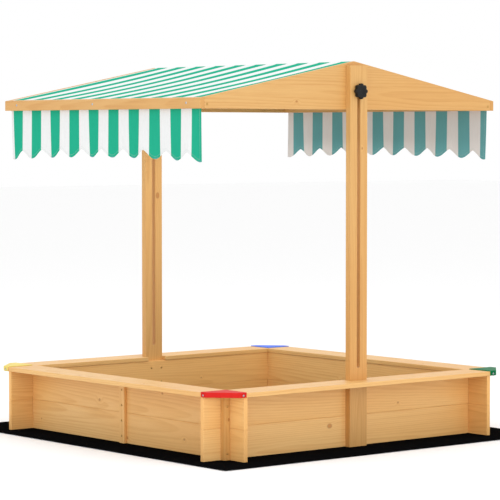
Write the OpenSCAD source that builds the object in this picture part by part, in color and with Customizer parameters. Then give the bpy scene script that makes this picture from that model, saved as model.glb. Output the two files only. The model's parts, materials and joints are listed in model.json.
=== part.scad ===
// Square wooden sandbox with a striped roof that slides down two slotted posts and covers it.
// +X runs across the eaves, +Y along the ridge, +Z up. The origin is on the ground, in the middle.

/* [Box] */
// Width of the box over its left and right walls
box_w = 1018; // [800:2:1400]
// Length of the box over its front and back walls
box_l = 1018; // [800:2:1400]
// Height of one wall board, two of which make a wall
board_h = 95.5; // [70:0.5:140]
// Thickness of the wall boards
wall_t = 14; // [10:0.5:20]
// How far the wall boards run past the corner where they cross
wing = 85; // [70:1:120]
// Side of the square batten in each corner
corner_batten = 20; // [16:1:26]
// Width of the upright batten in the middle of each side wall
mid_batten_w = 26; // [20:1:50]
// Thickness of that batten
mid_batten_t = 10; // [8:1:20]
// How far that batten sits behind the middle, so less than 0 is nearer the front
mid_batten_y = -6; // [-20:1:20]

/* [Rim] */
// Width of the seat boards on the rim
rim_w = 106; // [95:1:140]
// Thickness of the seat boards
rim_t = 14; // [10:0.5:22]
// How far the rim stands out past the ends of the wall boards
rim_over = 4; // [2:1:15]

/* [Corner caps] */
// How much of each edge the slanted corner takes
corner_cut = 70; // [60:1:80]
// How far the corner caps stop short of the seat boards' inner edges
cap_inset = 12; // [2:1:16]
// Thickness of the plastic
cap_t = 2.5; // [1.5:0.5:4]
// Height of the cap's skirt below the top of the rim
cap_skirt = 13; // [10:0.5:14]

/* [Ground sheet] */
// Thickness of the sheet
sheet_t = 1; // [0.5:0.1:2]
// How far the sheet shows past the rim at the left and right
sheet_out_x = 62; // [20:2:150]
// How far the sheet shows past the rim at the front and back
sheet_out_y = 96; // [20:2:150]

/* [Posts] */
// Width of a post
post_w = 70; // [50:1:100]
// Thickness of a post
post_t = 20; // [15:1:30]
// How far the flat top of a post stays below the ridge
post_below = 13; // [10:1:20]
// Width of the slot that the clamp bolt slides in
slot_w = 13; // [10:0.5:16]
// Height of the slot's lower end above the rim
slot_foot = 37; // [20:1:45]

/* [Roof] */
// Height of the lower edge of the raised roof above the ground
eave_z = 1038; // [800:2:1400]
// Height of the eave boards
eave_h = 31; // [25:1:60]
// Rise from the top of the eave boards to the ridge
roof_rise = 117.5; // [60:0.5:260]
// How far the roof reaches past the rim at the left and right
eave_out = 6; // [2:1:60]
// Thickness of the gable boards
gable_t = 15; // [10:0.5:20]
// Thickness of the eave boards
fascia_t = 15; // [10:0.5:22]
// Thickness of the batten that clamps the cloth behind each eave board
eave_batten_t = 18; // [12:1:30]
// Height of that batten
eave_batten_h = 26; // [18:1:28]
// Width of the batten under the ridge
ridge_batten_w = 30; // [20:1:50]
// Height of the batten under the ridge
ridge_batten_h = 34; // [20:1:50]

/* [Cloth] */
// Thickness of the roof cloth
cloth_t = 1.4; // [1:0.1:2]
// How far the valance hangs below the eave board in the middle of a side
valance_drop = 147; // [80:1:220]
// How much further it hangs at its two ends
valance_sag = 11; // [0:1:30]
// Width of one scallop
scallop_w = 107.5; // [60:0.5:160]
// Depth of one scallop
scallop_h = 25; // [10:1:40]

/* [Clamps] */
// Diameter of the clamp bolts
bolt_d = 8; // [6:0.5:9]
// Height of the bolts above the lower edge of the roof
bolt_up = 56; // [40:1:70]
// Diameter of the star knobs over their lobes
knob_d = 48; // [36:1:60]
// Thickness of the star knobs
knob_t = 15; // [12:1:25]
// Outer diameter of the washers
washer_d = 24; // [20:1:32]
// Thickness of the washers
washer_t = 1.6; // [1:0.1:3]

/* [Screws] */
// Diameter of the screw shanks
screw_d = 4; // [3:0.5:5]
// Diameter of the round screw heads
screw_head_d = 8; // [6:0.5:10]

/* [Hidden] */

$fn = 48;
eps = 1;             // how far a cut runs past the surface that it opens
screw_gap = 0.1;     // between a screw and its hole, all round
lap_gap = 0.2;       // between two boards in a half lap
notch_gap = 0.5;     // between a post and the notch in the rim
slide_gap = 0.5;     // between a gable board and the post that it slides on
soft_gap = 0.3;      // between the cloth and what holds it
clamp_gap = 0.3;     // between the faces of bolt, washer, knob and wood
shaft_gap = 0.06;    // between the bolt and what turns on it, all round
bush_gap = 0.02;     // between the knob and its bush, all round
cloth_inset = 1;     // the cloth lies this far below the top edge of the gables
slot_play = 2;       // between the raised bolt and the upper end of the slot
head_h = 2.6;        // height of a round screw head
hem_points = 108;     // points along the scalloped edge

half_w = box_w / 2;
half_l = box_l / 2;
wall_top = sheet_t + 2 * board_h;
rim_top = wall_top + rim_t;
board_half_x = half_w + wing;
board_half_y = half_l + wing;
rim_half_x = board_half_x + rim_over;
rim_half_y = board_half_y + rim_over;
rim_in_x = rim_half_x - rim_w;
rim_in_y = rim_half_y - rim_w;
cap_in_x = rim_in_x + cap_inset;
cap_in_y = rim_in_y + cap_inset;

roof_half = rim_half_x + eave_out;
ridge_z = eave_z + eave_h + roof_rise;
pitch = roof_rise / roof_half;
gable_out = half_l - slide_gap;
gable_in = gable_out - gable_t;
fascia_in = roof_half - fascia_t;
cloth_out = fascia_in - soft_gap;
cloth_in = cloth_out - cloth_t;
cloth_half_l = gable_in - soft_gap;
eave_batten_out = cloth_in - soft_gap;
bolt_z = eave_z + bolt_up;
post_out = half_l + post_t;
washer_in = post_out + clamp_gap;
knob_in = washer_in + washer_t + clamp_gap;
knob_wall = 3;
bolt_end = knob_in + knob_t - knob_wall - clamp_gap;

wood = [0.93, 0.73, 0.47];
wood_light = [0.95, 0.79, 0.55];
steel = [0.78, 0.79, 0.80];
green = [0.15, 0.72, 0.55];
black = [0.06, 0.06, 0.06];

// Height of the roof's top surface at a distance from the ridge
function roof_z(x) = ridge_z - pitch * abs(x);

// A length in whole hundredths, so that round and straight stretches of one outline meet exactly
function hundredths(v) = round(v * 100) / 100;

// ---- what repeats -------------------------------------------------------

// Children at one corner: sx and sy are -1 or 1
module at_corner(sx, sy) {
    mirror([sx < 0 ? 1 : 0, 0, 0]) mirror([0, sy < 0 ? 1 : 0, 0]) children();
}

// Children at all four corners, drawn for the one at +X +Y
module at_corners() {
    for (sx = [-1, 1], sy = [-1, 1]) at_corner(sx, sy) children();
}

// Children at the front and the back, drawn for the back (+Y)
module at_ends() {
    for (sy = [-1, 1]) at_corner(1, sy) children();
}

// Children at the left and the right, drawn for the right (+X)
module at_sides() {
    for (sx = [-1, 1]) at_corner(sx, 1) children();
}

// Round-headed screw along +Z: the head stands on z = 0 and the shank goes down
module round_screw(len) {
    color(steel) {
        translate([0, 0, -len]) cylinder(d = screw_d, h = len);
        rotate_extrude()
            intersection() {
                translate([0, -screw_head_d * 0.35]) circle(d = screw_head_d * 1.25);
                square([screw_head_d / 2, head_h]);
            }
    }
}

// Countersunk screw along +Z, its head flush with z = 0
module flat_screw(len) {
    color(steel) {
        translate([0, 0, -len]) cylinder(d = screw_d, h = len);
        translate([0, 0, -head_h]) cylinder(d1 = screw_d, d2 = screw_head_d, h = head_h);
    }
}

module round_hole(len) {
    translate([0, 0, -len - screw_gap]) cylinder(d = screw_d + 2 * screw_gap, h = len + eps);
}

module flat_hole(len) {
    round_hole(len);
    translate([0, 0, -head_h])
        cylinder(d1 = screw_d + 2 * screw_gap, d2 = screw_head_d + 2 * screw_gap, h = head_h);
    translate([0, 0, -0.01]) cylinder(d = screw_head_d + 2 * screw_gap, h = eps);
}

// ---- where the screws are -----------------------------------------------

cap_screw_len = 20;
cap_screw_z = rim_top - rim_t / 2;
cap_screw_from_end = 12;      // from the inner end of the cap's tab
rim_screw_len = 34;
rim_screw_off = 4.5;          // to each side of the mitre
batten_screw_len = corner_batten + wall_t - 2;
batten_screw_z = [sheet_t + board_h * 0.22, sheet_t + board_h * 1.68];
mid_screw_len = mid_batten_t + wall_t - 2;
mid_screw_z = [for (k = [0, 1], s = [0.25, 0.75]) sheet_t + board_h * (k + s)];
post_screw_len = wall_t + post_t - 3;
post_screw_x = post_w * 0.3;
fascia_screw_len = fascia_t + cloth_t + 2 * soft_gap + eave_batten_t - 4;
fascia_screw_y = [-0.895, 0.055, 0.895];
fascia_screw_z = eave_z + eave_h * 0.55;
gable_screw_len = gable_t + 25;
eave_batten_mid = eave_batten_out - eave_batten_t / 2;

// One on each of the cap's two tabs
module at_cap_screws() {
    translate([rim_half_x + cap_t, cap_in_y + cap_screw_from_end, cap_screw_z])
        rotate([0, 90, 0]) children();
    translate([cap_in_x + cap_screw_from_end, rim_half_y + cap_t, cap_screw_z])
        rotate([-90, 0, 0]) children();
}

// Two at each corner, under the cap, down into the end of the corner batten
module at_rim_screws() {
    for (s = [-1, 1])
        translate([
            half_w + corner_batten / 2 + s * rim_screw_off,
            half_l + corner_batten / 2 - s * rim_screw_off,
            rim_top
        ]) children();
}

module at_corner_batten_screws() {
    for (z = batten_screw_z)
        translate([half_w + corner_batten / 2, half_l + corner_batten, z])
            rotate([-90, 0, 0]) children();
}

module at_mid_batten_screws() {
    for (z = mid_screw_z)
        translate([half_w + mid_batten_t, mid_batten_y, z]) rotate([0, 90, 0]) children();
}

// From inside the box through the wall into the post
module at_post_screws() {
    for (x = [-1, 1], z = mid_screw_z)
        translate([x * post_screw_x, half_l - wall_t, z]) rotate([90, 0, 0]) children();
}

module at_fascia_screws() {
    for (y = fascia_screw_y)
        translate([roof_half, y * cloth_half_l, fascia_screw_z]) rotate([0, 90, 0]) children();
}

// Through a gable board into the ends of the three battens
module at_gable_screws() {
    for (x = [-eave_batten_mid, eave_batten_mid])
        translate([x, gable_out, eave_z + eave_batten_h / 2]) rotate([-90, 0, 0]) children();
    translate([0, gable_out, ridge_z - ridge_batten_h * 0.6]) rotate([-90, 0, 0]) children();
}

// ---- ground sheet and box -----------------------------------------------

module ground_sheet() {
    w = 2 * (rim_half_x + sheet_out_x);
    l = 2 * (rim_half_y + sheet_out_y);
    color(black) translate([-w / 2, -l / 2, 0]) cube([w, l, sheet_t]);
}

// A wall board along X, drawn for the back wall, with a half lap in its upper edge
module end_board(row) {
    z0 = sheet_t + row * board_h;
    color(wood) difference() {
        translate([-board_half_x, half_l - wall_t, z0]) cube([2 * board_half_x, wall_t, board_h]);
        at_sides()
            translate([half_w - wall_t - lap_gap, half_l - wall_t - eps, z0 + board_h / 2])
                cube([wall_t + 2 * lap_gap, wall_t + 2 * eps, board_h]);
        at_post_screws() round_hole(post_screw_len);
        at_sides() at_corner_batten_screws() round_hole(batten_screw_len);
    }
}

// A wall board along Y, drawn for the right wall, with a half lap in its lower edge
module side_board(row) {
    z0 = sheet_t + row * board_h;
    color(wood) difference() {
        translate([half_w - wall_t, -board_half_y, z0]) cube([wall_t, 2 * board_half_y, board_h]);
        at_ends()
            translate([half_w - wall_t - eps, half_l - wall_t - lap_gap, z0 - board_h / 2])
                cube([wall_t + 2 * eps, wall_t + 2 * lap_gap, board_h]);
        at_mid_batten_screws() round_hole(mid_screw_len);
    }
}

module corner_batten_piece() {
    color(wood_light) difference() {
        translate([half_w, half_l, sheet_t])
            cube([corner_batten, corner_batten, wall_top - sheet_t]);
        at_corner_batten_screws() round_hole(batten_screw_len);
        at_rim_screws() round_hole(rim_screw_len);
    }
}

module mid_batten() {
    color(wood_light) difference() {
        translate([half_w, mid_batten_y - mid_batten_w / 2, sheet_t])
            cube([mid_batten_t, mid_batten_w, wall_top - sheet_t]);
        at_mid_batten_screws() round_hole(mid_screw_len);
    }
}

// A post stands outside the wall and is cut to the slope of the roof at its top
module post() {
    slot_low = hundredths(rim_top + slot_foot + slot_w / 2);
    slot_high = hundredths(bolt_z + bolt_d / 2 + slot_play - slot_w / 2);
    color(wood_light) difference() {
        translate([0, post_out, 0]) rotate([90, 0, 0]) linear_extrude(post_t)
            difference() {
                translate([-post_w / 2, sheet_t]) square([post_w, ridge_z - post_below - sheet_t]);
                translate([0, slot_low]) circle(d = slot_w);
                translate([0, slot_high]) circle(d = slot_w);
                translate([-slot_w / 2, slot_low]) square([slot_w, slot_high - slot_low]);
            }
        at_post_screws() round_hole(post_screw_len);
    }
}

// ---- rim ----------------------------------------------------------------

// Outline of one seat board along the +Y edge, mitred, with its tips cut off under the caps
module rim_outline(in_a, in_b, out_a, out_b) {
    tip = corner_cut / 2;
    polygon([
        [-in_a, in_b], [in_a, in_b], [out_a - tip, out_b - tip], [out_a - corner_cut, out_b],
        [corner_cut - out_a, out_b], [tip - out_a, out_b - tip]
    ]);
}

module end_rim() {
    notch = post_w + 2 * notch_gap;
    color(wood_light) difference() {
        translate([0, 0, wall_top]) linear_extrude(rim_t)
            rim_outline(rim_in_x, rim_in_y, rim_half_x, rim_half_y);
        translate([-notch / 2, rim_in_y - eps, wall_top - eps])
            cube([notch, post_out + notch_gap - rim_in_y + eps, rim_t + 2 * eps]);
        at_sides() at_cap_screws() round_hole(cap_screw_len);
        at_sides() at_rim_screws() flat_hole(rim_screw_len);
    }
}

module side_rim() {
    color(wood_light) difference() {
        translate([0, 0, wall_top]) linear_extrude(rim_t)
            rotate(-90) rim_outline(rim_in_y, rim_in_x, rim_half_y, rim_half_x);
        at_ends() at_cap_screws() round_hole(cap_screw_len);
        at_ends() at_rim_screws() flat_hole(rim_screw_len);
    }
}

// Outline of a cap in plan, grown outwards by the thickness of its skirt
module cap_outline(grow) {
    slant = grow * (sqrt(2) - 1);
    x = rim_half_x + grow;
    y = rim_half_y + grow;
    polygon([
        [cap_in_x, cap_in_y], [x, cap_in_y], [x, rim_half_y - corner_cut + slant],
        [rim_half_x - corner_cut + slant, y], [cap_in_x, y]
    ]);
}

module corner_cap(colour) {
    color(colour) difference() {
        union() {
            translate([0, 0, rim_top]) linear_extrude(cap_t) cap_outline(cap_t);
            translate([0, 0, rim_top - cap_skirt]) linear_extrude(cap_skirt)
                difference() {
                    cap_outline(cap_t);
                    cap_outline(0);
                    translate([cap_in_x - eps, cap_in_y - eps]) square([rim_w / 2, rim_w / 2]);
                }
        }
        at_cap_screws() round_hole(cap_screw_len);
    }
}

// ---- roof ---------------------------------------------------------------

module gable() {
    color(wood) difference() {
        translate([0, gable_out, 0]) rotate([90, 0, 0]) linear_extrude(gable_t)
            polygon([
                [-fascia_in, eave_z], [fascia_in, eave_z], [fascia_in, roof_z(fascia_in)],
                [0, ridge_z], [-fascia_in, roof_z(fascia_in)]
            ]);
        translate([0, gable_out + eps, bolt_z]) rotate([90, 0, 0])
            cylinder(d = bolt_d + 2 * shaft_gap, h = gable_t + 2 * eps);
        at_gable_screws() flat_hole(gable_screw_len);
    }
}

module fascia() {
    color(wood_light) difference() {
        translate([0, gable_out, 0]) rotate([90, 0, 0]) linear_extrude(2 * gable_out)
            polygon([
                [fascia_in, eave_z], [roof_half, eave_z],
                [roof_half, roof_z(roof_half)], [fascia_in, roof_z(fascia_in)]
            ]);
        at_fascia_screws() round_hole(fascia_screw_len);
    }
}

module eave_batten() {
    color(wood) difference() {
        translate([eave_batten_out - eave_batten_t, -gable_in, eave_z])
            cube([eave_batten_t, 2 * gable_in, eave_batten_h]);
        at_fascia_screws() round_hole(fascia_screw_len);
        at_ends() at_gable_screws() flat_hole(gable_screw_len);
    }
}

module ridge_batten() {
    low = ridge_z - ridge_batten_h;
    under = cloth_inset + cloth_t * sqrt(1 + pitch * pitch) + soft_gap;
    half = ridge_batten_w / 2;
    color(wood) difference() {
        translate([0, gable_in, 0]) rotate([90, 0, 0]) linear_extrude(2 * gable_in)
            polygon([
                [-half, low], [half, low], [half, roof_z(half) - under],
                [0, ridge_z - under], [-half, roof_z(half) - under]
            ]);
        at_ends() at_gable_screws() flat_hole(gable_screw_len);
    }
}

// The cloth runs over the ridge and down behind both eave boards
module canopy() {
    thick = cloth_t * sqrt(1 + pitch * pitch);
    foot = eave_z + soft_gap;
    top = [for (x = [-cloth_out, 0, cloth_out]) [x, roof_z(x) - cloth_inset]];
    under = [for (x = [cloth_in, 0, -cloth_in]) [x, roof_z(x) - cloth_inset - thick]];
    color(green) difference() {
        translate([0, cloth_half_l, 0]) rotate([90, 0, 0]) linear_extrude(2 * cloth_half_l)
            polygon(concat(
                [[-cloth_out, foot]], top, [[cloth_out, foot], [cloth_in, foot]],
                under, [[-cloth_in, foot]]
            ));
        at_sides() at_fascia_screws() round_hole(fascia_screw_len);
    }
}

// Height of the valance's lower edge at a place along the eave, with a notch in the middle
function hem_z(y) =
    eave_z - valance_drop - valance_sag * pow(y / cloth_half_l, 2)
    + scallop_h * (1 + cos(360 * y / scallop_w)) / 2;

module valance() {
    top = eave_z - soft_gap / 3;
    steps = [for (i = [0:hem_points]) cloth_half_l * (2 * i / hem_points - 1)];
    color(green) translate([cloth_in, 0, 0]) rotate([90, 0, 90]) linear_extrude(cloth_t)
        polygon(concat(
            [for (y = steps) [y, hem_z(y)]],
            [[cloth_half_l, top], [-cloth_half_l, top]]
        ));
}

// ---- clamps, drawn for the back post ------------------------------------

// Mushroom-headed bolt, its head inside the gable board
module clamp_bolt() {
    bolt_head_d = 2.2 * bolt_d;
    bolt_head_h = 0.55 * bolt_d;
    color(steel) translate([0, gable_in - clamp_gap, bolt_z]) rotate([-90, 0, 0]) {
        cylinder(d = bolt_d, h = bolt_end - gable_in + clamp_gap);
        rotate([180, 0, 0]) rotate_extrude()
            intersection() {
                translate([0, bolt_head_h - 1.4 * bolt_d]) circle(r = 1.4 * bolt_d);
                square([bolt_head_d / 2, bolt_head_h]);
            }
    }
}

module washer() {
    color(steel) translate([0, washer_in, bolt_z]) rotate([-90, 0, 0])
        difference() {
            cylinder(d = washer_d, h = washer_t);
            translate([0, 0, -eps]) cylinder(d = bolt_d + 2 * shaft_gap, h = washer_t + 2 * eps);
        }
}

bush_d = bolt_d + 5;
bush_l = knob_t - knob_wall;

// Star knob with eight lobes and a blind hole for its bush
module knob() {
    lobes = 8;
    lobe_d = knob_d * 0.24;
    foot_h = 2;
    color(black) translate([0, knob_in, bolt_z]) rotate([-90, 0, 0])
        difference() {
            union() {
                cylinder(d = knob_d * 0.5, h = foot_h);
                translate([0, 0, foot_h]) linear_extrude(knob_t - foot_h) {
                    circle(d = knob_d * 0.84);
                    for (i = [0:lobes - 1])
                        rotate(i * 360 / lobes)
                            translate([0, (knob_d - lobe_d) / 2]) circle(d = lobe_d);
                }
            }
            translate([0, 0, -eps]) cylinder(d = bush_d + 2 * bush_gap, h = bush_l + eps);
        }
}

module knob_bush() {
    color(steel) translate([0, knob_in, bolt_z]) rotate([-90, 0, 0])
        difference() {
            cylinder(d = bush_d, h = bush_l);
            translate([0, 0, -eps]) cylinder(d = bolt_d + 2 * shaft_gap, h = bush_l + 2 * eps);
        }
}

// ---- the nodes ----------------------------------------------------------

ground_sheet();
at_corner(1, -1) end_board(0);  // front_board_lower
at_corner(1, -1) end_board(1);  // front_board_upper
end_board(0);  // back_board_lower
end_board(1);  // back_board_upper
at_corner(-1, 1) side_board(0);  // left_board_lower
at_corner(-1, 1) side_board(1);  // left_board_upper
side_board(0);  // right_board_lower
side_board(1);  // right_board_upper
at_corner(-1, -1) corner_batten_piece();  // corner_batten_front_left
at_corner(1, -1) corner_batten_piece();  // corner_batten_front_right
at_corner(-1, 1) corner_batten_piece();  // corner_batten_back_left
at_corner(1, 1) corner_batten_piece();  // corner_batten_back_right
at_corner(-1, 1) mid_batten();  // mid_batten_left
mid_batten();  // mid_batten_right
at_corner(1, -1) post();  // post_front
post();  // post_back
at_corner(1, -1) end_rim();  // rim_front
end_rim();  // rim_back
at_corner(-1, 1) side_rim();  // rim_left
side_rim();  // rim_right
at_corner(-1, -1) corner_cap([0.85, 0.19, 0.17]);  // corner_cap_red
at_corner(1, -1) corner_cap([0.08, 0.47, 0.29]);  // corner_cap_green
at_corner(-1, 1) corner_cap([0.92, 0.83, 0.45]);  // corner_cap_yellow
at_corner(1, 1) corner_cap([0.35, 0.50, 0.95]);  // corner_cap_blue
at_corners() at_cap_screws() round_screw(cap_screw_len);  // cap_screws
at_corners() at_rim_screws() flat_screw(rim_screw_len);  // rim_screws
union() {  // batten_screws
    at_corners() at_corner_batten_screws() round_screw(batten_screw_len);
    at_sides() at_mid_batten_screws() round_screw(mid_screw_len);
}
at_ends() at_post_screws() round_screw(post_screw_len);  // post_screws
at_corner(1, -1) gable();  // gable_front
gable();  // gable_back
at_corner(-1, 1) fascia();  // fascia_left
fascia();  // fascia_right
at_corner(-1, 1) eave_batten();  // eave_batten_left
eave_batten();  // eave_batten_right
ridge_batten();
canopy();
at_corner(-1, 1) valance();  // valance_left
valance();  // valance_right
at_sides() at_fascia_screws() round_screw(fascia_screw_len);  // fascia_screws
at_ends() at_gable_screws() flat_screw(gable_screw_len);  // gable_screws
at_corner(1, -1) clamp_bolt();  // clamp_bolt_front
clamp_bolt();  // clamp_bolt_back
at_corner(1, -1) washer();  // washer_front
washer();  // washer_back
at_corner(1, -1) knob();  // knob_front
knob();  // knob_back
at_corner(1, -1) knob_bush();  // knob_bush_front
knob_bush();  // knob_bush_back
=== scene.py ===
"""Square wooden sandbox with a striped sliding roof: the finish and materials of its pieces."""

import json
import math
import random
import zlib

import bmesh
import bpy
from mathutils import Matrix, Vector

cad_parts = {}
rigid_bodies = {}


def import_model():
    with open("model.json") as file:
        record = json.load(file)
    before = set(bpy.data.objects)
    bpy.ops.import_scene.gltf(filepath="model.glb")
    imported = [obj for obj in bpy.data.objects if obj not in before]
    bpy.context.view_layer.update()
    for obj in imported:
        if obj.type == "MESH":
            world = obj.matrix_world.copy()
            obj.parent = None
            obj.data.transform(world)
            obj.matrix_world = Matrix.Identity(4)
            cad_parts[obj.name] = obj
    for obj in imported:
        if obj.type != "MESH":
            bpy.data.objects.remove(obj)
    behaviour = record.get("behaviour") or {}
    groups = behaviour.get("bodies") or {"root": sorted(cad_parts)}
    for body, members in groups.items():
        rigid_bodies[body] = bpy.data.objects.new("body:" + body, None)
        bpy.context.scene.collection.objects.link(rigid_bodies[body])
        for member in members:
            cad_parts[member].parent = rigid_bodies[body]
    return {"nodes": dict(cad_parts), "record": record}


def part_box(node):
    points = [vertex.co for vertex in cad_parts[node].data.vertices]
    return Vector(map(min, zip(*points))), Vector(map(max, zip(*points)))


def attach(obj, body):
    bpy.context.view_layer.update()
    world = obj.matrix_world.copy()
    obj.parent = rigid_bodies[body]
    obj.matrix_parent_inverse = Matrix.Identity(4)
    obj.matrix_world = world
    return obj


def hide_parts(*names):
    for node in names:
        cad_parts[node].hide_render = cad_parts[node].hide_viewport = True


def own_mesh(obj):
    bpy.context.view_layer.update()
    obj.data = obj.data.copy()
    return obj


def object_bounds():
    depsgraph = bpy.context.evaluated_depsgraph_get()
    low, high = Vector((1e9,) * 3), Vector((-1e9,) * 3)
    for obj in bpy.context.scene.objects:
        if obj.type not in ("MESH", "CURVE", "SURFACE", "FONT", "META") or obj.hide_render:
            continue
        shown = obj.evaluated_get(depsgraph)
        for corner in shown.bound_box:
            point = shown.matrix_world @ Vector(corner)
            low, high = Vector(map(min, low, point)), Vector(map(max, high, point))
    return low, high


bl_info = {
    "name": "Sandbox with Cover",
    "version": (1, 0, 0),
    "blender": (4, 5, 0),
    "location": "View3D > Sidebar > Sandbox",
    "description": "Finishes the pieces of a wooden sandbox with a sliding striped roof",
    "category": "Object",
}

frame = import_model()
CAD_BOX = [list(corner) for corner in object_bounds()]
BODY_OF = {node: body for body, nodes in frame["record"]["behaviour"]["bodies"].items() for node in nodes}

X, Y, Z = range(3)
MM = 0.001
WALL_BOARDS = [
    f"{side}_board_{row}" for side in ("front", "back", "left", "right") for row in ("lower", "upper")
]
UPRIGHTS = [
    "corner_batten_front_left", "corner_batten_front_right", "corner_batten_back_left",
    "corner_batten_back_right", "post_front", "post_back",
]
MID_BATTENS = ["mid_batten_left", "mid_batten_right"]
RIM_BOARDS = ["rim_front", "rim_back", "rim_left", "rim_right"]
ROOF_WOOD = [
    "gable_front", "gable_back", "fascia_left", "fascia_right",
    "eave_batten_left", "eave_batten_right", "ridge_batten",
]
CAPS = ["red", "green", "yellow", "blue"]
ROUND_SCREWS = ["cap_screws", "batten_screws", "post_screws", "fascia_screws"]
FLAT_SCREWS = ["rim_screws", "gable_screws"]
PAN_HEAD = 2.6 * MM
VALANCE_TUCK = 9 * MM


def linear(red, green, blue):
    """A display colour from 0 to 255 as the linear colour that a shader takes."""
    def one(value):
        value /= 255
        return value / 12.92 if value <= 0.04045 else ((value + 0.055) / 1.055) ** 2.4
    return (one(red), one(green), one(blue))


# ---- what a user would change ------------------------------------------------


def length(name, description, default, low, high):
    return bpy.props.FloatProperty(
        name=name, description=description, default=default, min=low, max=high,
        subtype="DISTANCE", unit="LENGTH", precision=4,
    )


def colour(name, description, default):
    return bpy.props.FloatVectorProperty(
        name=name, description=description, default=default, size=3, min=0, max=1, subtype="COLOR",
    )


class SandboxSizes(bpy.types.PropertyGroup):
    """Sizes that finish the pieces"""
    board_ease: length("Board Edges", "Radius of the edges of the boards", 1.6 * MM, 0.2 * MM, 4 * MM)
    cap_ease: length("Cap Edges", "Radius of the edges of the corner caps", 1.1 * MM, 0.2 * MM, 1.2 * MM)
    boss_width: length("Screw Bosses", "Diameter of the screw bosses", 13 * MM, 10 * MM, 15 * MM)
    ring_gap: length("Growth Rings", "Distance between growth rings in the wood", 5.2 * MM, 2 * MM, 12 * MM)
    stripe: length("Stripes", "Width of a green and a white stripe", 103.4 * MM, 20 * MM, 300 * MM)
    stripe_green: length("Green Stripe", "Width of a green stripe", 52.5 * MM, 10 * MM, 290 * MM)
    cloth_thick: length("Cloth", "Thickness of the roof cloth", 0.8 * MM, 0.3 * MM, 1.2 * MM)
    roof_sag: length("Roof Sag", "How far the roof cloth sags between ridge and eave", 5 * MM, 0, 10 * MM)
    hem_wave: length("Hem Waves", "Height of the waves at the lower edge of the valances", 5 * MM, 0, 12 * MM)
    sheet_wave: length("Sheet Ripples", "Height of the ripples of the ground sheet", 2.5 * MM, 0, 8 * MM)


class SandboxColours(bpy.types.PropertyGroup):
    """Colours of the finishes"""
    # The wall tint is lighter than the roof and upright tints though all are the same pine: part of its
    # lightness is painted light that lifts the wall boards and mid battens out of the shade under the rim.
    wall: colour("Walls", "Wood of the wall boards and the battens in their middle", linear(250, 202, 131))
    upright: colour("Uprights", "Wood of the posts and corner battens", linear(219, 171, 103))
    rim: colour("Rim", "Wood of the seat boards", linear(237, 192, 124))
    roof: colour("Roof Frame", "Wood of the gables, eave boards and roof battens", linear(219, 173, 107))
    cloth_green: colour("Green Stripes", "Coloured stripes of the cloth", linear(42, 172, 138))
    cloth_white: colour("White Stripes", "Light stripes of the cloth", linear(232, 233, 233))
    ground: colour("Ground Sheet", "Woven ground sheet", linear(14, 14, 15))
    red: colour("Red Cap", "Front left corner cap", linear(214, 42, 38))
    green: colour("Green Cap", "Front right corner cap", linear(14, 112, 68))
    yellow: colour("Yellow Cap", "Back left corner cap", linear(236, 214, 120))
    blue: colour("Blue Cap", "Back right corner cap", linear(84, 124, 246))
    knob: colour("Knobs", "Star knobs", linear(13, 13, 14))
    zinc: colour("Zinc", "Zinc-plated cap screws, eave screws, bolts and washers", linear(196, 198, 202))
    yellow_zinc: colour("Yellow Zinc", "Yellow zinc-plated wood screws", linear(205, 158, 92))


def sizes():
    return bpy.context.scene.sandbox_sizes


def colours():
    return bpy.context.scene.sandbox_colours


# ---- shader graphs -----------------------------------------------------------


class Value:
    """A value in a shader graph. Sums written with it add Math nodes."""

    def __init__(self, graph, socket):
        self.graph = graph
        self.socket = socket

    def math(self, operation, *others):
        values = {0: self, **dict(enumerate(others, 1))}
        return self.graph.node("ShaderNodeMath", {"operation": operation}, values)

    def flipped(self, operation, first):
        return self.graph.node("ShaderNodeMath", {"operation": operation}, {0: first, 1: self})

    def __add__(self, other):
        return self.math("ADD", other)

    def __radd__(self, other):
        return self.flipped("ADD", other)

    def __sub__(self, other):
        return self.math("SUBTRACT", other)

    def __rsub__(self, other):
        return self.flipped("SUBTRACT", other)

    def __mul__(self, other):
        return self.math("MULTIPLY", other)

    def __rmul__(self, other):
        return self.flipped("MULTIPLY", other)

    def __truediv__(self, other):
        return self.math("DIVIDE", other)

    def __abs__(self):
        return self.math("ABSOLUTE")


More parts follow.
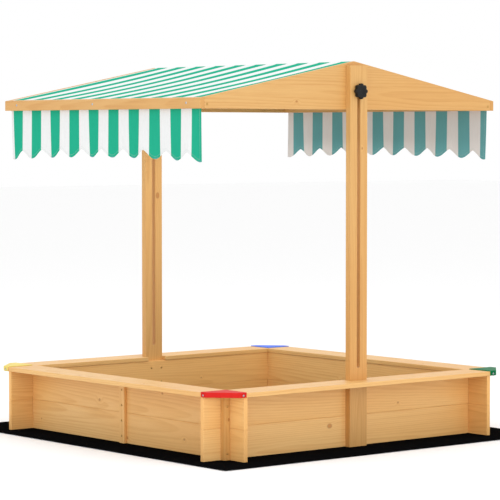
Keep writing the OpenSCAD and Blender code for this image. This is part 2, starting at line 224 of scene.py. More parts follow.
class Graph:
    """The nodes of one material, made with as few words as their settings allow."""

    def __init__(self, name):
        self.material = bpy.data.materials.new(name)
        self.material.use_nodes = True
        self.tree = self.material.node_tree
        self.tree.nodes.clear()

    def node(self, kind, settings=None, values=None, out=0):
        made = self.tree.nodes.new(kind)
        for key, value in (settings or {}).items():
            setattr(made, key, value)
        for key, value in (values or {}).items():
            socket = made.inputs[key]
            if isinstance(value, Value):
                self.tree.links.new(value.socket, socket)
            elif hasattr(value, "__len__") and len(value) == 3 and len(socket.default_value) == 4:
                socket.default_value = (*value, 1)
            else:
                socket.default_value = value
        return Value(self, made.outputs[out]) if made.outputs else None

    def place(self):
        """The three coordinates of a point on the piece."""
        source = self.node("ShaderNodeTexCoord", out="Object")
        parts = self.node("ShaderNodeSeparateXYZ", values={0: source}).socket.node
        return [Value(self, parts.outputs[axis]) for axis in (X, Y, Z)]

    def vector(self, x, y, z):
        return self.node("ShaderNodeCombineXYZ", values={0: x, 1: y, 2: z})

    def noise(self, at, scale=1, detail=2, rough=0.5):
        values = {"Vector": at, "Scale": scale, "Detail": detail, "Roughness": rough}
        return self.node("ShaderNodeTexNoise", values=values)

    def ease(self, value, low, high, start=0, end=1):
        """Goes smoothly from start to end as value goes from low to high."""
        settings = {"interpolation_type": "SMOOTHSTEP"}
        return self.node("ShaderNodeMapRange", settings, {0: value, 1: low, 2: high, 3: start, 4: end})

    def mix(self, share, first, second, blend="MIX"):
        settings = {"data_type": "RGBA", "blend_type": blend}
        return self.node("ShaderNodeMix", settings, {0: share, 6: first, 7: second}, out=2)

    def bump(self, height, strength, depth):
        return self.node("ShaderNodeBump", values={"Height": height, "Strength": strength, "Distance": depth})

    def finish(self, **values):
        """Ends the graph in a Principled shader. Words with _ stand for the socket's name."""
        named = {key.replace("_", " "): value for key, value in values.items()}
        shader = self.node("ShaderNodeBsdfPrincipled", values=named)
        self.node("ShaderNodeOutputMaterial", values={"Surface": shader})
        return self.material


def shade(tint, red, green, blue):
    return (tint[0] * red, tint[1] * green, tint[2] * blue)


def wood(node, tint):
    """Varnished softwood: rings round a pith beside the board, fibres, knots and end grain."""
    draw = random.Random(zlib.crc32(node.encode()))
    low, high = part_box(node)
    size = high - low
    middle = (low + high) / 2
    grain, wide, thin = sorted((X, Y, Z), key=lambda axis: -size[axis])
    graph = Graph(f"wood_{node}")
    at = graph.place()
    along, across, deep = at[grain], at[wide], at[thin]

    warp = graph.noise(graph.vector(along * 2.2, across * 9, deep * 9), detail=2)
    swirl = 0
    knot_mask = 0
    knot_edge = 0
    knots = draw.choice((1, 2, 2, 3)) if size[wide] > 0.05 else draw.choice((0, 0, 1))
    for index in range(knots):
        share = (index + draw.uniform(0.15, 0.85)) / knots
        radius = draw.choice((2.2, 3.0, 4.0, 6.5)) * MM
        along_knot = (along - (low[grain] + size[grain] * share)) * 0.72
        across_knot = across - (middle[wide] + draw.uniform(-0.36, 0.36) * size[wide])
        away = (along_knot * along_knot + across_knot * across_knot).math("SQRT")
        away = away + (warp - 0.5) * radius * 0.8
        swirl = graph.ease(away, radius * 5, 0, 0, 0.006) + swirl
        knot_mask = graph.ease(away, radius * 1.05, radius * 0.75) + knot_mask
        knot_edge = graph.ease(abs(away - radius), radius * 0.35, 0) + knot_edge

    pith_across = middle[wide] + draw.uniform(-0.5, 0.5) * size[wide]
    pith_deep = middle[thin] + draw.choice((-1, 1)) * draw.uniform(35, 70) * MM
    drift = draw.uniform(0.006, 0.02) * draw.choice((-1, 1))
    side = across - pith_across - (along - middle[grain]) * drift
    back = deep - pith_deep - (along - middle[grain]) * draw.uniform(-0.03, 0.03)
    ring = (side * side + back * back).math("SQRT") + warp * 0.012 + swirl
    ring = (ring / sizes().ring_gap).math("FRACT")
    late = graph.ease(ring, 0.25, 0.88) * graph.ease(ring, 1, 0.92)

    streak = graph.noise(graph.vector(along * 3, across * 150, deep * 150), detail=3, rough=0.6)
    fibre = graph.noise(graph.vector(along * 22, across * 1100, deep * 1100), detail=2)
    blotch = graph.noise(graph.vector(along * 1.3 + draw.uniform(0, 9), across * 5, deep * 5), detail=2)
    dark = shade(tint, 0.80, 0.64, 0.47)
    warm = shade(tint, 0.96, 0.86, 0.72)
    body = graph.mix(graph.ease(blotch, 0.3, 0.7, 0, 0.85), tint, warm)
    body = graph.mix(late * graph.ease(streak, 0.2, 0.8, 0.15, 0.55), body, dark)
    body = graph.mix(graph.ease(streak, 0.35, 0.75, 0, 0.16), body, dark)
    body = graph.mix(graph.ease(fibre, 0.35, 0.7, 0, 0.14), body, shade(tint, 0.62, 0.47, 0.32))
    if knots:
        body = graph.mix((knot_mask * 0.75).math("MINIMUM", 1), body, shade(tint, 0.60, 0.36, 0.18))
        body = graph.mix((knot_edge * 0.38).math("MINIMUM", 1), body, shade(tint, 0.36, 0.19, 0.08))
    end = graph.ease(abs(along - middle[grain]), size[grain] / 2 - 0.9 * MM, size[grain] / 2 - 0.3 * MM)
    body = graph.mix(end * 0.55, body, shade(tint, 0.86, 0.72, 0.56))
    rough = 0.40 + late * 0.10 + fibre * 0.12 + end * 0.15
    height = fibre * 0.5 - late * 0.35 + streak * 0.3
    return graph.finish(
        Base_Color=body, Roughness=rough, Normal=graph.bump(height, 0.35, 0.4 * MM),
        Coat_Weight=0.12, Coat_Roughness=0.3, Specular_IOR_Level=0.4,
    )


def plastic(name, tint, rough, grain, shine):
    """Moulded plastic with a fine eroded grain and faint flow marks."""
    graph = Graph(name)
    at = graph.place()
    point = graph.vector(*at)
    flow = graph.noise(point, scale=35, detail=3)
    pits = graph.noise(point, scale=grain, detail=2, rough=0.6)
    body = graph.mix(graph.ease(flow, 0.3, 0.7, 0, 0.5), tint, shade(tint, 0.88, 0.88, 0.88))
    body = graph.mix(graph.ease(pits, 0.55, 0.75, 0, 0.2), body, shade(tint, 1.25, 1.25, 1.25))
    return graph.finish(
        Base_Color=body, Roughness=rough + flow * 0.12 - pits * 0.06,
        Normal=graph.bump(pits, 0.25, 0.15 * MM), Specular_IOR_Level=shine,
    )


def zinc(name, tint):
    """Zinc plate with a faint mottled crystal pattern."""
    graph = Graph(name)
    point = graph.vector(*graph.place())
    cells = graph.node("ShaderNodeTexVoronoi", {"feature": "F1"}, {"Vector": point, "Scale": 900})
    cloud = graph.noise(point, scale=260, detail=3)
    body = graph.mix(graph.ease(cloud, 0.3, 0.7, 0, 0.6), tint, shade(tint, 0.78, 0.80, 0.84))
    return graph.finish(
        Base_Color=body, Metallic=0.92, Roughness=0.26 + cells * 0.22,
        Normal=graph.bump(cloud, 0.15, 0.1 * MM),
    )


def striped_cloth():
    """Plain-woven awning cloth. The two widths meet at the ridge seam, a little out of step."""
    graph = Graph("awning_cloth")
    x, y, z = graph.place()
    pitch = sizes().stripe
    share = sizes().stripe_green / pitch
    left_start = 88.4 * MM
    right_start = 1.8 * MM
    start = left_start - x.math("GREATER_THAN", 0) * (left_start - right_start)
    step = ((y + start) / pitch + 20).math("FRACT")
    blur = 0.012
    green = graph.ease(step, 0, blur) * graph.ease(step, share + blur, share)
    thread = 1.1 * MM
    warp = (y * (math.tau / thread)).math("SINE")
    weft = ((x * 0.98 + z) * (math.tau / thread)).math("SINE")
    weave = warp * weft
    slub = graph.noise(graph.vector(x * 40, y * 700, z * 40), detail=2)
    fade = graph.noise(graph.vector(x * 3, y * 3, z * 3), detail=2)
    # Faces marked inner (looking inward or down) get painted shade: the green turns duller and bluer and the
    # white greyer and warmer, as the cloth looks in the shade under the roof.
    inner = graph.node("ShaderNodeAttribute", {"attribute_name": "inner"}, out="Fac")
    tint = tuple(colours().cloth_green)
    plain = tuple(colours().cloth_white)
    tint = graph.mix(inner, tint, shade(tint, 6.2, 0.92, 1.55))
    plain = graph.mix(inner, plain, shade(plain, 0.96, 0.90, 0.87))
    body = graph.mix(green, plain, tint)
    body = graph.mix(graph.ease(slub, 0.35, 0.75, 0, 0.10), body, (0.45, 0.50, 0.48), "MULTIPLY")
    body = graph.mix(graph.ease(fade, 0.3, 0.75, 0, 0.07), body, (0.75, 0.78, 0.76), "MULTIPLY")
    edge = graph.node("ShaderNodeAttribute", {"attribute_name": "edge"}, out="Fac")
    hem = graph.ease(edge, 9.6 * MM, 9.1 * MM)
    hem_seam = 8 * MM
    ridge_seam = 5 * MM
    stitch_length = 3.6 * MM
    line = graph.ease(abs(edge - hem_seam), 0.6 * MM, 0.3 * MM)
    line = graph.ease(abs(abs(x) - ridge_seam), 0.6 * MM, 0.3 * MM) + line
    dash = ((x + y + z) / stitch_length).math("FRACT")
    stitch = line * graph.ease(abs(dash - 0.5), 0.42, 0.34)
    body = graph.mix(hem * 0.08, body, (0.55, 0.6, 0.58), "MULTIPLY")
    body = graph.mix(stitch * 0.45, body, (0.62, 0.70, 0.67))
    height = weave * 0.5 + slub + hem * 1.5 - stitch
    return graph.finish(
        Base_Color=body, Roughness=0.82 + slub * 0.12, Normal=graph.bump(height, 0.22, 0.3 * MM),
        Specular_IOR_Level=0,
    )


def ground_cloth():
    """Black tape-woven ground cloth."""
    graph = Graph("ground_cloth")
    x, y, z = graph.place()
    tape = 2.4 * MM
    warp = abs((x * (math.pi / tape)).math("SINE"))
    weft = abs((y * (math.pi / tape)).math("SINE"))
    over = ((x / tape).math("FLOOR") + (y / tape).math("FLOOR")).math("MODULO", 2)
    height = over.math("MULTIPLY", warp) + (1 - over) * weft
    dust = graph.noise(graph.vector(x, y, z), scale=14, detail=3)
    tint = tuple(colours().ground)
    body = graph.mix(graph.ease(dust, 0.45, 0.8, 0, 0.35), tint, shade(tint, 1.9, 1.85, 1.8))
    return graph.finish(
        Base_Color=body, Roughness=0.85 + height * 0.1, Normal=graph.bump(height, 0.2, 0.2 * MM),
        Specular_IOR_Level=0,
    )


# ---- mesh work ---------------------------------------------------------------


def focus(*objects):
    """Makes these objects the only selected ones, and the first of them active."""
    bpy.ops.object.select_all(action="DESELECT")
    for thing in objects:
        thing.select_set(True)
    bpy.context.view_layer.objects.active = objects[0]


def modify(thing, kind, **settings):
    """Adds a modifier and applies it."""
    focus(thing)
    modifier = thing.modifiers.new(kind.title(), kind)
    for key, value in settings.items():
        setattr(modifier, key, value)
    bpy.ops.object.modifier_apply(modifier=modifier.name)


def smooth(thing, degrees=32):
    focus(thing)
    bpy.ops.object.shade_smooth_by_angle(angle=math.radians(degrees))


def settle(thing):
    """Puts the object's place, turn and size into its mesh."""
    focus(thing)
    bpy.ops.object.transform_apply(location=True, rotation=True, scale=True)


def deliver(thing, nodes, material, body=None):
    """Gives a finished piece its material and its body, and hides the CAD nodes that it stands for."""
    nodes = [nodes] if isinstance(nodes, str) else list(nodes)
    thing.data.materials.clear()
    thing.data.materials.append(material)
    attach(thing, body or BODY_OF[nodes[0]])
    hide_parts(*nodes)
    return thing


def copied(node, name):
    """A merged copy of a CAD node's mesh, with flat faces in one piece."""
    source = frame["nodes"][node]
    thing = bpy.data.objects.new(name, source.data.copy())
    bpy.context.scene.collection.objects.link(thing)
    focus(thing)
    bpy.ops.object.mode_set(mode="EDIT")
    bpy.ops.mesh.select_all(action="SELECT")
    bpy.ops.mesh.remove_doubles(threshold=0.002 * MM)
    bpy.ops.mesh.dissolve_limited(angle_limit=math.radians(0.5))
    bpy.ops.object.mode_set(mode="OBJECT")
    return thing


def eased(node, name, radius, shortest=9 * MM, segments=3):
    """A copy of a CAD node whose long sharp edges are rounded over. Screw holes keep theirs."""
    thing = copied(node, name)
    mesh = bmesh.new()
    mesh.from_mesh(thing.data)
    weight = mesh.edges.layers.float.new("bevel_weight_edge")
    for edge in mesh.edges:
        if len(edge.link_faces) == 2 and edge.calc_length() > shortest:
            if edge.calc_face_angle() > math.radians(25):
                edge[weight] = 1
    mesh.to_mesh(thing.data)
    mesh.free()
    modify(thing, "BEVEL", limit_method="WEIGHT", width=radius, segments=segments, use_clamp_overlap=True)
    smooth(thing)
    modify(thing, "WEIGHTED_NORMAL", keep_sharp=True, weight=80)
    return thing


def grid_sheet(name, columns, rows, at, edge, thick, offset=-1):
    """A sheet of cloth: the point (u, v), each from 0 to 1, lies at at(u, v), edge(point) from its border."""
    bpy.ops.mesh.primitive_grid_add(x_subdivisions=columns, y_subdivisions=rows, size=1)
    thing = bpy.context.active_object
    thing.name = thing.data.name = name
    for vertex in thing.data.vertices:
        vertex.co = at(vertex.co.x + 0.5, vertex.co.y + 0.5)
    border = thing.data.attributes.new("edge", "FLOAT", "POINT")
    for vertex in thing.data.vertices:
        border.data[vertex.index].value = edge(vertex.co)
    settle(thing)
    modify(thing, "SOLIDIFY", thickness=thick, offset=offset, use_even_offset=True)
    smooth(thing, 50)
    # Marks the faces that look inward or down with inner = 1; the cloth shader paints these faces as in
    # shade.
    inner = thing.data.attributes.new("inner", "FLOAT", "POINT")
    for vertex in thing.data.vertices:
        out = math.copysign(vertex.normal.x, vertex.co.x * vertex.normal.x)
        inner.data[vertex.index].value = 1 if out + vertex.normal.z < 0 else 0
    return thing


def islands(node):
    """The separate solids of a CAD node, as lists of points."""
    mesh = bmesh.new()
    mesh.from_mesh(frame["nodes"][node].data)
    bmesh.ops.remove_doubles(mesh, verts=mesh.verts, dist=0.002 * MM)
    left = set(mesh.verts)
    found = []
    while left:
        stack = [left.pop()]
        points = []
        while stack:
            vertex = stack.pop()
            points.append(vertex.co.copy())
            for edge in vertex.link_edges:
                other = edge.other_vert(vertex)
                if other in left:
                    left.discard(other)
                    stack.append(other)
        found.append(points)
    mesh.free()
    return found


def screw_place(points):
    """Where a screw's axis leaves its head, the way it points, and its head's radius."""
    low = Vector([min(p[axis] for p in points) for axis in (X, Y, Z)])
    high = Vector([max(p[axis] for p in points) for axis in (X, Y, Z)])
    axis = max((X, Y, Z), key=lambda a: high[a] - low[a])
    centre = (low + high) / 2
    others = [a for a in (X, Y, Z) if a != axis]

    def spread(end):
        near = [p for p in points if abs(p[axis] - end) < 4 * MM]
        return max(max(abs(p[a] - centre[a]) for a in others) for p in near)

    top = high[axis] if spread(high[axis]) > spread(low[axis]) else low[axis]
    way = Vector((0, 0, 0))
    way[axis] = 1 if top == high[axis] else -1
    centre[axis] = top
    return centre, way, (high[others[0]] - low[others[0]]) / 2


def aimed(thing, place, way):
    """A copy of a piece drawn round +Z, moved to a place and turned to point another way."""
    twin = thing.copy()
    twin.data = thing.data.copy()
    bpy.context.scene.collection.objects.link(twin)
    turn = Vector((0, 0, 1)).rotation_difference(way)
    twin.data.transform(turn.to_matrix().to_4x4())
    for vertex in twin.data.vertices:
        vertex.co += place
    return twin


def joined(name, things):
    focus(*things)
    bpy.ops.object.join()
    whole = bpy.context.active_object
    whole.name = whole.data.name = name
    return whole


def pick_faces(thing, test):
    """Leaves thing in edit mode with only the faces selected for which test is true."""
    focus(thing)
    bpy.ops.object.mode_set(mode="EDIT")
    bpy.ops.mesh.select_mode(type="FACE")
    bpy.ops.mesh.select_all(action="DESELECT")
    mesh = bmesh.from_edit_mesh(thing.data)
    for face in mesh.faces:
        face.select_set(test(face))
    bmesh.update_edit_mesh(thing.data)


def leave_edit():
    bpy.ops.object.mode_set(mode="OBJECT")


# ---- wood --------------------------------------------------------------------


def finish_boards(nodes, tint):
    for node in nodes:
        name = f"{node}_planed" if "board" in node else f"{node}_board"
        deliver(eased(node, name, sizes().board_ease), node, wood(node, tuple(tint)))


class SANDBOX_OT_walls(bpy.types.Operator):
    """Planes the eight wall boards and rounds their edges"""
    bl_idname = "sandbox.walls"
    bl_label = "Wall Boards"

    def execute(self, context):
        # The wall tint carries a painted lift against the shade under the rim.
        finish_boards(WALL_BOARDS, colours().wall)
        return {"FINISHED"}


class SANDBOX_OT_uprights(bpy.types.Operator):
    """Planes the posts and the upright battens"""
    bl_idname = "sandbox.uprights"
    bl_label = "Posts and Battens"

    def execute(self, context):
        finish_boards(UPRIGHTS, colours().upright)
        # The mid battens take the wall tint with its painted lift against the shade under the rim.
        finish_boards(MID_BATTENS, colours().wall)
        return {"FINISHED"}


class SANDBOX_OT_rim(bpy.types.Operator):
    """Planes the four seat boards of the rim"""
    bl_idname = "sandbox.rim"
    bl_label = "Seat Boards"

    def execute(self, context):
        finish_boards(RIM_BOARDS, colours().rim)
        return {"FINISHED"}


class SANDBOX_OT_roof_frame(bpy.types.Operator):
    """Planes the gables, the eave boards and the roof battens"""
    bl_idname = "sandbox.roof_frame"
    bl_label = "Roof Frame"

    def execute(self, context):
        finish_boards(ROOF_WOOD, colours().roof)
        return {"FINISHED"}


# ---- plastic and metal -------------------------------------------------------


def screw_boss():
    """A round boss with a recess that takes a screw head, drawn round +Z from z = 0."""
    outer = sizes().boss_width / 2
    depth = 2.4 * MM
    recess_radius = 4.7 * MM
    recess_depth = 1.9 * MM
    bpy.ops.mesh.primitive_cylinder_add(vertices=40, radius=outer, depth=depth, location=(0, 0, depth / 2))
    boss = bpy.context.active_object
    settle(boss)
    pick_faces(boss, lambda face: face.normal.z > 0.9)
    bpy.ops.mesh.inset(thickness=outer - recess_radius)
    bpy.ops.mesh.extrude_region_move(TRANSFORM_OT_translate={"value": (0, 0, -recess_depth)})
    leave_edit()
    modify(boss, "BEVEL", limit_method="ANGLE", angle_limit=math.radians(40), width=0.6 * MM, segments=3)
    smooth(boss)
    return boss


class SANDBOX_OT_corner_caps(bpy.types.Operator):
    """Finishes the four plastic corner caps, with a boss round each screw"""
    bl_idname = "sandbox.corner_caps"
    bl_label = "Corner Caps"

    def execute(self, context):
        boss = screw_boss()
        margin = 9 * MM
        places = [screw_place(points) for points in islands("cap_screws")]
        for name in CAPS:
            node = f"corner_cap_{name}"
            low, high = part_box(node)
            cap = eased(node, f"{node}_moulded", sizes().cap_ease, shortest=6 * MM)
            parts = [cap]
            for place, way, _ in places:
                if all(low[a] - margin < place[a] < high[a] + margin for a in (X, Y)):
                    parts.append(aimed(boss, place - way * PAN_HEAD, way))
            cap = joined(f"{node}_moulded", parts)
            finish = plastic(f"cap_{name}", tuple(getattr(colours(), name)), 0.42, 700, 0.05)
            deliver(cap, node, finish)
        bpy.data.objects.remove(boss)
        return {"FINISHED"}


def screw_head(radius, height, name):
    """A pan head with a cross recess, drawn round +Z, its top at z = 0."""
    bpy.ops.mesh.primitive_uv_sphere_add(segments=32, ring_count=16, radius=radius * 1.25)
    head = bpy.context.active_object
    for vertex in head.data.vertices:
        rise = max(0, vertex.co.z - radius * 0.75)
        out = vertex.co.xy.length
        if out > radius:
            vertex.co.x *= radius / out
            vertex.co.y *= radius / out
        vertex.co.z = rise * height / (radius * 0.5) - height
    modify(head, "WELD", merge_threshold=0.01 * MM)
    bpy.ops.mesh.primitive_cube_add(size=1)
    blade = bpy.context.active_object
    for vertex in blade.data.vertices:
        taper = 1 if vertex.co.z > 0 else 0.55
        vertex.co.x *= radius * 1.15 * taper
        vertex.co.y *= radius * 0.24 * taper
        vertex.co.z *= height * 1.3
    for quarter in range(2):
        cutter = blade.copy()
        cutter.data = blade.data.copy()
        bpy.context.scene.collection.objects.link(cutter)
        if quarter:
            for vertex in cutter.data.vertices:
                vertex.co.x, vertex.co.y = -vertex.co.y, vertex.co.x
        modify(head, "BOOLEAN", operation="DIFFERENCE", object=cutter, solver="EXACT")
        bpy.data.objects.remove(cutter)
    bpy.data.objects.remove(blade)
    smooth(head, 35)
    head.name = name
    return head


class SANDBOX_OT_screws(bpy.types.Operator):
    """Gives the round-headed screws their cross recesses, and plates all metal pieces"""
    bl_idname = "sandbox.screws"
    bl_label = "Screws, Bolts and Washers"

    def execute(self, context):
        plated = zinc("zinc_plate", tuple(colours().zinc))
        golden = zinc("yellow_zinc_plate", tuple(colours().yellow_zinc))
        for node in ROUND_SCREWS:
            places = [screw_place(points) for points in islands(node)]
            radius = places[0][2]
            head = screw_head(radius, PAN_HEAD, "screw_head")
            copies = [aimed(head, place, way) for place, way, _ in places]
            bpy.data.objects.remove(head)
            finish = plated if node in ("cap_screws", "fascia_screws") else golden
            deliver(joined(f"{node}_heads", copies), node, finish)
        for node in FLAT_SCREWS + [n for n in BODY_OF if n.startswith(("clamp_bolt", "knob_bush"))]:
            piece = frame["nodes"][node]
            piece.data.materials.clear()
            piece.data.materials.append(golden if node in FLAT_SCREWS else plated)
        for node in ("washer_front", "washer_back"):
            deliver(eased(node, f"{node}_plated", 0.35 * MM, shortest=0.1 * MM, segments=2), node, plated)
        return {"FINISHED"}


class SANDBOX_OT_knobs(bpy.types.Operator):
    """Moulds the two star knobs with rounded lobes and a dished face"""
    bl_idname = "sandbox.knobs"
    bl_label = "Star Knobs"

    def execute(self, context):
        finish = plastic("knob_plastic", tuple(colours().knob), 0.48, 1100, 0.28)
        for end, way in (("front", Vector((0, -1, 0))), ("back", Vector((0, 1, 0)))):
            node = f"knob_{end}"
            low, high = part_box(node)
            radius = (high.z - low.z) / 2
            thick = high.y - low.y
            centre = Vector((0, high.y if end == "front" else low.y, (low.z + high.z) / 2))
            deliver(aimed(star_knob(radius, thick), centre, way), node, finish).name = f"{node}_moulded"
        for left in [o for o in bpy.data.objects if o.name.startswith("star_pattern")]:
            bpy.data.objects.remove(left)
        return {"FINISHED"}


def star_knob(radius, thick):
    """A star knob of eight lobes drawn round +Z: its foot stands on z = 0."""
    lobes = 8
    points_per_lobe = 18
    foot = 2 * MM
    skirt = 1.2 * MM
    crown = ((0.965, 1.5 * MM), (0.92, 1.0 * MM), (0.86, 0.6 * MM), (0.78, 0.3 * MM))
    dish = 0.9 * MM
    lobe = radius * 0.24
    waist = radius * 0.84

    def reach(angle):
        """How far the outline of round lobes on a round waist lies from the middle."""
        turn = (angle / (math.tau / lobes) + 0.5) % 1 - 0.5
        offset = abs(turn) * math.tau / lobes
        centre = radius - lobe
        inside = lobe ** 2 - (centre * math.sin(offset)) ** 2
        lobe_reach = centre * math.cos(offset) + math.sqrt(inside) if inside > 0 else 0
        return max(waist, lobe_reach)

    bpy.ops.mesh.primitive_circle_add(vertices=lobes * points_per_lobe, radius=radius, fill_type="NGON")
    knob = bpy.context.active_object
    knob.name = "star_pattern"
    for vertex in knob.data.vertices:
        angle = math.atan2(vertex.co.x, vertex.co.y)
        vertex.co = Vector((math.sin(angle), math.cos(angle), 0)) * reach(angle) + Vector((0, 0, foot))
    pick_faces(knob, lambda face: True)
    bpy.ops.mesh.extrude_region_move(TRANSFORM_OT_translate={"value": (0, 0, skirt)})
    rise = thick - foot - skirt - sum(lift for _, lift in crown)
    bpy.ops.mesh.extrude_region_move(TRANSFORM_OT_translate={"value": (0, 0, rise)})
    for share, lift in crown:
        bpy.ops.mesh.extrude_region_move(TRANSFORM_OT_translate={"value": (0, 0, lift)})
        bpy.ops.transform.resize(value=(share, share, 1))
    bpy.ops.mesh.inset(thickness=radius * 0.10)
    bpy.ops.mesh.extrude_region_move(TRANSFORM_OT_translate={"value": (0, 0, -dish)})
    bpy.ops.transform.resize(value=(0.94, 0.94, 1))
    leave_edit()
    hub_radius = radius * 0.5
    bpy.ops.mesh.primitive_cylinder_add(vertices=48, radius=hub_radius, depth=foot * 2, location=(0, 0, foot))
    hub = bpy.context.active_object
    settle(hub)
    focus(knob)
    bpy.ops.object.mode_set(mode="EDIT")
    bpy.ops.mesh.select_all(action="SELECT")
    bpy.ops.mesh.normals_make_consistent(inside=False)
    leave_edit()
    knob = joined("star_pattern", [knob, hub])
    modify(knob, "BEVEL", limit_method="ANGLE", angle_limit=math.radians(50), width=0.35 * MM, segments=2)
    smooth(knob, 38)
    return knob


# ---- cloth -------------------------------------------------------------------


def roof_shape():
    """What the cloth follows: ridge and eave places from the frame, in metres."""
    low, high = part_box("canopy")
    return {"half_x": high.x, "half_y": high.y, "ridge": high.z, "foot": low.z,
            "eave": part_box("fascia_left")[0].z, "top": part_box("fascia_left")[1].z}


class SANDBOX_OT_canopy(bpy.types.Operator):
    """Stretches the roof cloth over the ridge and down behind both eave boards"""
    bl_idname = "sandbox.canopy"
    bl_label = "Roof Cloth"

    def execute(self, context):
        shape = roof_shape()
        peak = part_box("gable_front")[1]
        pitch = (peak.z - shape["top"]) / peak.x
        half = shape["half_x"]
        eave_top = shape["ridge"] - pitch * half
        slope = math.hypot(half, shape["ridge"] - eave_top)
        drop = eave_top - shape["foot"]
        total = 2 * (slope + drop)
        sag = sizes().roof_sag
        seam, seam_share = 7.5 * MM, 4 / 110

        def at(u, v):
            y = (v - 0.5) * 2 * shape["half_y"]
            out = abs(2 * u - 1)
            along = seam * min(1, out / seam_share)
            along += (total / 2 - seam) * max(0, out - seam_share) / (1 - seam_share)
            side = -1 if u < 0.5 else 1
            if along > slope:
                return Vector((side * half, y, eave_top - (along - slope)))
            x = along / slope * half
            inner = math.sin(math.pi * along / slope)
            edge = 1 - (abs(y) / shape["half_y"]) ** 6
            z = shape["ridge"] - pitch * x - sag * inner * edge
            z += 0.5 * MM * math.sin(y * 61) * math.sin(math.pi * along / slope) ** 2
            if along < 0.9 * seam:
                z += 0.7 * MM
            return Vector((side * x, y, z))

        def edge(point):
            return shape["half_y"] - abs(point.y)

        cloth = grid_sheet("roof_cloth", 220, 110, at, edge, sizes().cloth_thick)
        deliver(cloth, "canopy", striped_cloth())
        return {"FINISHED"}


class SANDBOX_OT_valances(bpy.types.Operator):
    """Hangs the scalloped valances below both eave boards"""
    bl_idname = "sandbox.valances"
    bl_label = "Valances"

    def execute(self, context):
        material = bpy.data.objects["roof_cloth"].data.materials[0]
        shape = roof_shape()
        for side, sign in (("left", -1), ("right", 1)):
            node = f"valance_{side}"
            low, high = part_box(node)
            middle = sign * (abs(low.x) + abs(high.x)) / 2
            hem, length_y = scallops(low, high)
            top = shape["eave"] + VALANCE_TUCK

            def at(u, v):
                y = (u - 0.5) * length_y
                foot = hem(y)
                z = foot + (top - foot) * v
                hang = max(0.0, (shape["eave"] - z) / (shape["eave"] - low.z))
                wave = math.sin(y * 31 + sign) + 0.55 * math.sin(y * 58.4 + 2 * sign)
                wave += 0.3 * math.sin(y * 107 + 1)
                swing = sizes().hem_wave * hang ** 1.4 * wave * 0.6
                return Vector((middle + swing, y, z))

            def edge(point):
                return min(point.z - hem(point.y), length_y / 2 - abs(point.y))

            cloth = grid_sheet(f"{node}_cloth", 430, 26, at, edge, sizes().cloth_thick * 0.8, offset=0)
            deliver(cloth, node, material)
            area = sum(hem_strip(hem, length_y, top))
            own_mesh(cloth)
        return {"FINISHED"}


def scallops(low, high):
    """The height of the scalloped hem at a place along the eave, and the length of the valance."""
    half = high.y
    width = 107.5 * MM
    depth = 27 * MM
    sag = 11 * MM
    tip = low.z + sag

    def hem(y):
        base = tip - sag * (y / half) ** 2
        round_wave = (1 + math.cos(math.tau * y / width)) / 2
        cusp = 1 - abs(math.sin(math.pi * y / width))
        return base + depth * (0.45 * round_wave + 0.55 * cusp)

    return hem, 2 * half


def hem_strip(hem, length_y, top, parts=400):
    """The areas of narrow upright strips of a valance."""
    width = length_y / parts
    for index in range(parts):
        y = -length_y / 2 + (index + 0.5) * width
        yield width * (top - hem(y))


class SANDBOX_OT_ground_sheet(bpy.types.Operator):
    """Lays the black ground sheet, flat under the walls and a little rippled at its border"""
    bl_idname = "sandbox.ground_sheet"
    bl_label = "Ground Sheet"

    def execute(self, context):
        low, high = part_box("ground_sheet")
        thick = high.z - low.z
        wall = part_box("front_board_lower")[1].x

        def at(u, v):
            x = low.x + (high.x - low.x) * u
            y = low.y + (high.y - low.y) * v
            out_x = max(0, abs(x) - wall) / (high.x - wall)
            out_y = max(0, abs(y) - wall) / (high.y - wall)
            free = max(out_x, out_y) ** 1.5
            ripple = 1 + 0.6 * math.sin(x * 17 + 1.3 * math.sin(y * 6)) + 0.4 * math.sin(y * 19 + x * 5)
            return Vector((x, y, thick * 0.95 + sizes().sheet_wave * free * max(0, ripple) / 2))

        def edge(point):
            return min(high.x - abs(point.x), high.y - abs(point.y))

        sheet = grid_sheet("ground_cloth", 150, 150, at, edge, thick * 0.9)
        deliver(sheet, "ground_sheet", ground_cloth())
        return {"FINISHED"}


# ---- stage -------------------------------------------------------------------


def area_light(name, place, aim, size, power):
    data = bpy.data.lights.new(name, "AREA")
    data.size = size
    data.energy = power
    light = bpy.data.objects.new(name, data)
    bpy.context.scene.collection.objects.link(light)
    light.location = place
    light.rotation_euler = (Vector(aim) - Vector(place)).to_track_quat("-Z", "Y").to_euler()


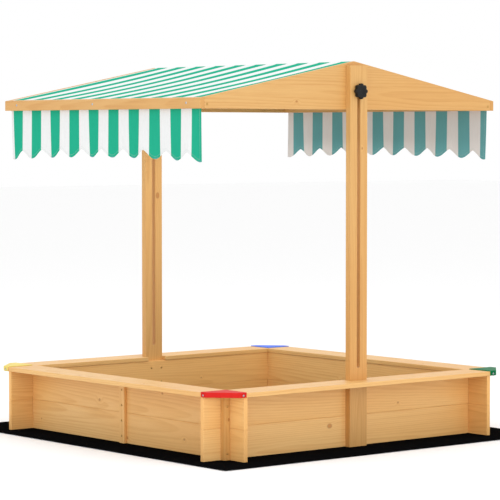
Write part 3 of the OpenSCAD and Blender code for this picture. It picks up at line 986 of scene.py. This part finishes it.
class SANDBOX_OT_stage(bpy.types.Operator):
    """Sets the pale floor, the soft lights and the camera"""
    bl_idname = "sandbox.stage"
    bl_label = "Stage"

    def execute(self, context):
        low, high = Vector(CAD_BOX[0]), Vector(CAD_BOX[1])
        middle = (low + high) / 2
        bpy.ops.mesh.primitive_plane_add(size=60, location=(0, 0, low.z - 0.0005))
        floor = bpy.context.active_object
        floor.name = "floor"
        graph = Graph("pale_floor")
        floor.data.materials.append(graph.finish(Base_Color=(0.97, 0.97, 0.97), Roughness=0.9))

        world = bpy.data.worlds.new("soft_white")
        world.use_nodes = True
        world.node_tree.nodes["Background"].inputs[0].default_value = (1, 1, 1, 1)
        world.node_tree.nodes["Background"].inputs[1].default_value = 1
        context.scene.world = world
        context.scene.view_settings.view_transform = "Standard"
        area_light("key", (-1.5, -6.5, 1.6), middle, 4, 75)
        area_light("fill", (-6.8, -2, 1), middle, 4, 45)
        area_light("top", (0, 0, 6), middle, 4, 60)
        area_light("under_roof", (0, 0, 0.95), (0, 0, 0), 0.9, 3.4)

        data = bpy.data.cameras.new("camera")
        data.lens = 174.9
        data.sensor_width = 36
        data.clip_end = 200
        camera = bpy.data.objects.new("camera", data)
        context.scene.collection.objects.link(camera)
        camera.location = middle + Vector((-5.0065, -6.0646, 0.3739))
        camera.rotation_euler = (math.radians(90 - 2.763), 0, math.radians(-39.564))
        context.scene.camera = camera
        return {"FINISHED"}


class SANDBOX_PT_panel(bpy.types.Panel):
    """Lists the sizes, the colours and the pieces"""
    bl_idname = "SANDBOX_PT_panel"
    bl_label = "Sandbox with Cover"
    bl_space_type = "VIEW_3D"
    bl_region_type = "UI"
    bl_category = "Sandbox"

    def draw(self, context):
        for group in (sizes(), colours()):
            box = self.layout.box()
            for name in group.__annotations__:
                box.prop(group, name)
        for operator in OPERATORS:
            self.layout.operator(operator.bl_idname)


OPERATORS = [
    SANDBOX_OT_stage, SANDBOX_OT_walls, SANDBOX_OT_uprights, SANDBOX_OT_rim, SANDBOX_OT_roof_frame,
    SANDBOX_OT_corner_caps, SANDBOX_OT_screws, SANDBOX_OT_knobs, SANDBOX_OT_canopy,
    SANDBOX_OT_valances, SANDBOX_OT_ground_sheet,
]
CLASSES = [SandboxSizes, SandboxColours, *OPERATORS, SANDBOX_PT_panel]


def register():
    for kind in CLASSES:
        bpy.utils.register_class(kind)
    bpy.types.Scene.sandbox_sizes = bpy.props.PointerProperty(type=SandboxSizes)
    bpy.types.Scene.sandbox_colours = bpy.props.PointerProperty(type=SandboxColours)


def unregister():
    del bpy.types.Scene.sandbox_colours
    del bpy.types.Scene.sandbox_sizes
    for kind in reversed(CLASSES):
        bpy.utils.unregister_class(kind)


def main():
    register()
    for operator in OPERATORS:
        getattr(bpy.ops.sandbox, operator.bl_idname.split(".")[1])()


if __name__ == "__main__":
    main()
